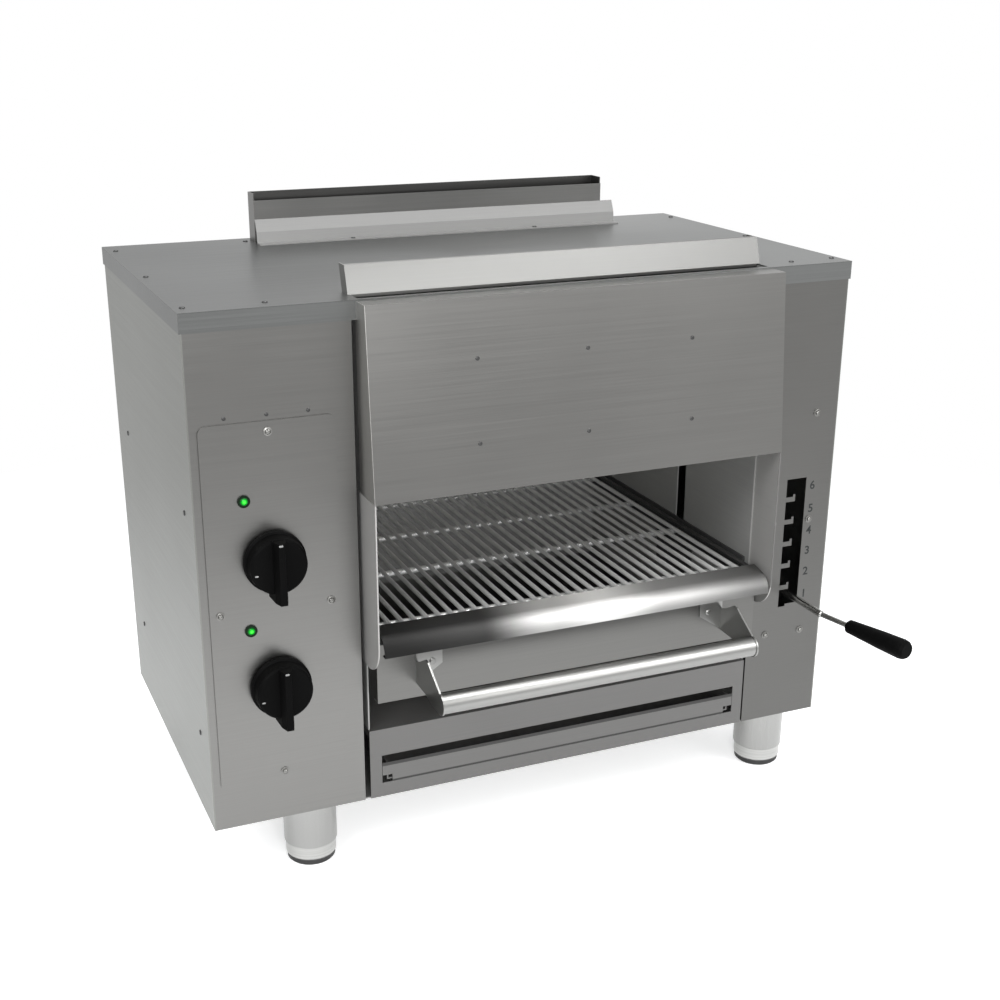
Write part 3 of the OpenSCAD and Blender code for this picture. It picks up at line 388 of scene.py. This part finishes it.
mats = {
    # Painted light on the hood: lighter towards the right, and its left cheek painted brighter
    "front": shaded(shaded(brushed("front_brushed", FRONT, "x"), "X", HOOD_X, 0.78, 0.95),
                    "X", HOOD_CHEEK_X, 3.7, 1.0),
    "apron": brushed("apron_brushed", (0.142, 0.141, 0.136), "x"),
    # Painted shade on the control panel: darker towards the top
    "control": shaded(brushed("control_brushed", FRONT, "x"), "Z", PANEL_Z, 0.90, 0.72),
    # Painted light on the lever panel: lighter towards the top
    "lever": shaded(brushed("lever_brushed", FRONT, "x"), "Z", GATE_Z, 0.57, 0.80),
    "base": base_steel("base_brushed"),
    "tray": shade_edges(base_steel("tray_brushed")),
    # Painted shade on the side panels: darker towards the top
    "side": shaded(brushed("side_brushed", SIDE, "y", 0.38), "Z", PANEL_Z, 0.76, 0.70),
    # Painted light on the top cover: lighter towards the right, and its front fold painted
    # brighter
    "top": shaded(shaded(brushed("top_brushed", TOP, "x", 0.36), "X", COVER_X, 0.55, 0.84),
                  "Z", COVER_FOLD_Z, 1.17, 1.0),
    "back": brushed("back_brushed", SIDE, "z", 0.38),
    "inner": wall_steel("inner_steel", (0.29, 0.29, 0.282), "y"),
    "rear": wall_steel("rear_steel", (0.33, 0.33, 0.32), "x"),
    # Painted shade along the front edge of the right side guard
    "wing": darkened(brushed("guard_sheet", (0.36, 0.355, 0.345), "y", 0.45, 0.06, 0.06, 0.2,
                             metal=0.55),
                     "XY", RIGHT_GUARD_LOW, RIGHT_GUARD_HIGH, 0.45),
    # Painted reflection on the drip lip: dark at the left, a bright patch in the middle
    "lip": along_x(banded(brushed("lip_satin", (0.66, 0.657, 0.645), "x", 0.42, 0.04, 0.05, 0.8),
                          BAY_X, LIP_STOPS)),
    "tube": along_x(brushed("tube_steel", (0.26, 0.26, 0.253), "x", 0.3, 0.03, 0.04, 0.6)),
    "bright": polished("bright_steel", (0.36, 0.36, 0.35), 0.26, 0.02),
    # Painted light on the grate, lighter towards the right, and painted shade on its outermost
    # wires at the right
    "wire": banded(polished("wire_steel", WIRE, 0.4, 0.03, metal=0.5), BAY_X, WIRE_STOPS),
    # Painted shade on both ends of the grate frame, and painted light between them
    "frame": banded(polished("frame_steel", WIRE, 0.3, 0.03, metal=0.5),
                    (FRAME_LOW, FRAME_HIGH), FRAME_STOPS),
    "rail": polished("rail_dark", (0.065, 0.065, 0.065), 0.5, 0.03, metal=0.5),
    # Painted shade on the front vent guard: darker towards the right
    "guard": shaded(brushed("vent_steel", (0.28, 0.28, 0.272), "x", 0.42, 0.04, 0.04),
                    "X", BAY_X, 0.86, 0.56),
    # Painted shade inside the flue
    "flue": darkened(brushed("flue_steel", (0.15, 0.149, 0.145), "x", 0.36),
                     "XY", FLUE_LOW, FLUE_HIGH, 0.45),
    "skirt": brushed("skirt_steel", (0.20, 0.199, 0.194), "x", 0.5, metal=0.1),
    "foot": brushed("foot_steel", (0.31, 0.31, 0.303), "z", 0.25, 0.04, 0.04),
    "foot_base": foot_base("foot_base"),
    "paint": plastic("grey_paint", (0.035, 0.037, 0.037), 1500.0, 0.05, 0.1),
    "white": plastic("white_paint", (0.22, 0.22, 0.215), 1500.0, 0.05),
    "screw": polished("screw_dark", (0.07, 0.07, 0.07), 0.4),
    "bolt": polished("bolt_steel", (0.19, 0.188, 0.18), 0.36),
    "rim": polished("lamp_rim", (0.012, 0.02, 0.013), 0.4),
    "green": lamp_green("lamp_green"),
    "brass": polished("brass", (0.55, 0.40, 0.17), 0.28),
    "ceramic": ceramic("burner_ceramic"),
    "black": plastic("black_plastic", (0.002, 0.002, 0.002), shine=0.03),
}
looks = {
    "front": ["hood"],
    "apron": ["apron"],
    "control": ["control_panel", "service_cover"],
    "lever": ["lever_panel"],
    "base": ["base_front_panel"],
    "tray": ["drip_tray"],
    "wing": ["side_guards"],
    "side": ["left_side_panel", "right_side_panel"],
    "back": ["back_panel"],
    "top": ["top_cover"],
    "flue": ["flue_box"],
    "skirt": ["flue_skirt"],
    "guard": ["front_vent_guard"],
    "inner": ["base_pan", "hood_liner", "left_bay_wall", "right_bay_wall", "burner_frame",
              "left_burner", "right_burner", "tray_runners", "shaft_bearings", "slide_blocks",
              "lever_bracket", "gas_manifold"],
    "rear": ["rear_bay_wall", "carriage_rear_tie"],
    "lip": ["drip_lip"],
    "tube": ["handle_tube", "handle_brackets"],
    "frame": ["grate_frame"],
    "rail": ["carriage_left_side", "carriage_right_side"],
    "bright": ["guide_posts", "equalizer_shaft", "lever_rod", "burner_pipes",
               "upper_stem", "lower_stem"],
    "wire": ["grate"],
    "foot": ["foot_sleeves"],
    "foot_base": ["front_left_foot", "front_right_foot", "rear_left_foot", "rear_right_foot"],
    "screw": ["cover_screws"],
    "bolt": ["panel_bolts"],
    "rim": ["lamp_bezels"],
    "green": ["lamp_lenses"],
    "brass": ["gas_taps", "gas_inlet"],
    "ceramic": ["burner_tiles", "ignition_electrodes"],
    "black": ["upper_knob", "lower_knob", "lever_grip", "ignition_box", "cable_gland"],
}
for look, names in looks.items():
    for n in names:
        o = nodes[n]
        if not o.material_slots:
            o.data.materials.append(mats[look])
        for slot in o.material_slots:
            slot.link = "OBJECT"
            slot.material = mats[look]


# ---- Printed numbers beside the gate, and marks on the knobs ----
NUMBER_X = 732.5
NUMBER_HEIGHTS = (158.8, 187.7, 214.4, 239.9, 267.6, 296.2)
# Just in front of the lever panel, and half a number down from its middle
NUMBER_Y = 1.45
NUMBER_DROP = 5


def number(text, x, z):
    c = bpy.data.curves.new("height_number_" + text, "FONT")
    c.body = text
    c.size = 0.0142
    c.align_x = "CENTER"
    c.extrude = 0.00003
    c.offset = 0.0003
    c.materials.append(mats["paint"])
    o = bpy.data.objects.new("height_number_" + text, c)
    scene.collection.objects.link(o)
    o.rotation_euler = (math.radians(90), 0, 0)
    o.location = at(x, NUMBER_Y, z - NUMBER_DROP)
    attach(o, "cabinet")


for i, z in enumerate(NUMBER_HEIGHTS):
    number(str(i + 1), NUMBER_X, z)

MARK_POINTS = 24


def knob_mark(name, body, x, y, z, w, h):
    """Small painted bar with rounded ends, lying on the knob at the depth y."""
    me = bpy.data.meshes.new(name)
    bm = bmesh.new()
    r = min(w, h) / 2
    ring = []
    for k in range(MARK_POINTS):
        a = 2 * math.pi * k / MARK_POINTS
        cx = math.copysign(w / 2 - r, math.cos(a)) if w > h else 0.0
        cz = math.copysign(h / 2 - r, math.sin(a)) if h > w else 0.0
        ring.append((cx + r * math.cos(a), cz + r * math.sin(a)))
    back, front = ([bm.verts.new(at(x + px, d, z + pz)) for px, pz in ring]
                   for d in (y + 0.02, y - 0.12))
    bm.faces.new(front)
    bm.faces.new(list(reversed(back)))
    for k in range(MARK_POINTS):
        n = (k + 1) % MARK_POINTS
        bm.faces.new((back[k], back[n], front[n], front[k]))
    bmesh.ops.recalc_face_normals(bm, faces=bm.faces)
    bm.to_mesh(me)
    bm.free()
    me.materials.append(mats["white"])
    o = bpy.data.objects.new(name, me)
    scene.collection.objects.link(o)
    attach(o, body)


# The knobs' middles, the crest of their grip bar and the face of their disc
KNOBS = (("upper", 299), ("lower", 159))
CREST_Y = -35.5
FACE_Y = -23.5
for who, z in KNOBS:
    knob_mark(who + "_knob_top_mark", who + "_knob", 79.2, CREST_Y, z + 26.6, 4.4, 2.0)
    knob_mark(who + "_knob_side_mark", who + "_knob", 56.0, FACE_Y, z - 6.5, 3.6, 1.6)


# ---- Light, floor and world ----
def seen_rays(nt):
    """1 for the rays that see the white background, 0 for those that light the object."""
    path = nt.nodes.new("ShaderNodeLightPath")
    value = path.outputs["Is Camera Ray"]
    for other in ("Is Glossy Ray", "Is Transmission Ray"):
        value = calc(nt, "MAXIMUM", value, path.outputs[other])
    return value


def world_light():
    w = bpy.data.worlds.new("studio")
    scene.world = w
    w.use_nodes = True
    nt = w.node_tree
    nt.nodes.clear()
    out = nt.nodes.new("ShaderNodeOutputWorld")
    soft = nt.nodes.new("ShaderNodeBackground")
    soft.inputs["Color"].default_value = (0.93, 0.96, 1.0, 1)
    soft.inputs["Strength"].default_value = 0.55
    white = nt.nodes.new("ShaderNodeBackground")
    white.inputs["Color"].default_value = (1, 1, 1, 1)
    white.inputs["Strength"].default_value = 1.0
    mix = nt.nodes.new("ShaderNodeMixShader")
    nt.links.new(seen_rays(nt), mix.inputs[0])
    nt.links.new(soft.outputs[0], mix.inputs[1])
    nt.links.new(white.outputs[0], mix.inputs[2])
    nt.links.new(mix.outputs[0], out.inputs[0])


FLOOR_HALF = 12.0
FLOOR_GLOW = 0.50
# Distances from the middle between which the floor fades to white
FLOOR_FADE = (0.6, 1.6)


def floor():
    """Pale floor that keeps the shadow near the object and fades to white far from it."""
    m, nt, bsdf = new_material("floor_pale")
    cloud = noise(nt, coords(nt), 3.0)
    nt.links.new(colour_ramp(nt, cloud, [(0.3, (0.84, 0.84, 0.84)), (0.7, (0.86, 0.86, 0.86))]),
                 bsdf.inputs["Base Color"])
    bsdf.inputs["Roughness"].default_value = 0.9
    bsdf.inputs["Emission Color"].default_value = (1, 1, 1, 1)
    seen = seen_rays(nt)
    nt.links.new(calc(nt, "MULTIPLY", seen, FLOOR_GLOW), bsdf.inputs["Emission Strength"])
    far = nt.nodes.new("ShaderNodeVectorMath")
    far.operation = "LENGTH"
    nt.links.new(coords(nt), far.inputs[0])
    fade = calc(nt, "MULTIPLY", ramp(nt, far.outputs["Value"], 0.0, 1.0, *FLOOR_FADE), seen)
    glow = nt.nodes.new("ShaderNodeEmission")
    glow.inputs["Color"].default_value = (1, 1, 1, 1)
    glow.inputs["Strength"].default_value = 1.0
    mix = nt.nodes.new("ShaderNodeMixShader")
    nt.links.new(fade, mix.inputs[0])
    nt.links.new(bsdf.outputs[0], mix.inputs[1])
    nt.links.new(glow.outputs[0], mix.inputs[2])
    out = next(n for n in nt.nodes if n.type == "OUTPUT_MATERIAL")
    nt.links.new(mix.outputs[0], out.inputs[0])
    me = bpy.data.meshes.new("floor")
    s = FLOOR_HALF
    me.from_pydata([(-s, -s, 0), (s, -s, 0), (s, s, 0), (-s, s, 0)], [], [(0, 1, 2, 3)])
    me.materials.append(m)
    o = bpy.data.objects.new("floor", me)
    scene.collection.objects.link(o)


# name: place, target (metres), size (metres), power (watts)
LAMPS = {
    "key": ((-2.4, -1.6, 2.4), (0, 0, 0.35), (1.6, 1.2), 60),
    "fill": ((1.6, -2.6, 1.6), (0, 0, 0.35), (1.6, 1.2), 22),
    "top": ((0.2, 0.4, 2.8), (0, 0, 0.4), (2.0, 1.4), 30),
    "bay": ((-0.5, -1.7, 0.85), (0, 0.05, 0.40), (0.5, 0.4), 14),
    # narrow strip whose reflection, with the painted reflection in the lip's colour, is the
    # light patch on the drip lip
    "strip": ((0.68, -0.94, 1.93), (-0.06, -0.165, 0.287), (0.16, 2.0), 20),
}


def area_lamps():
    for name, (place, target, size, power) in LAMPS.items():
        d = bpy.data.lights.new(name, "AREA")
        d.shape = "RECTANGLE"
        d.size, d.size_y = size
        d.energy = power
        o = bpy.data.objects.new(name, d)
        scene.collection.objects.link(o)
        o.location = place
        aim = Vector(target) - Vector(place)
        o.rotation_euler = aim.to_track_quat("-Z", "Y").to_euler()


world_light()
floor()
area_lamps()
scene.view_settings.view_transform = "Standard"
make_camera()
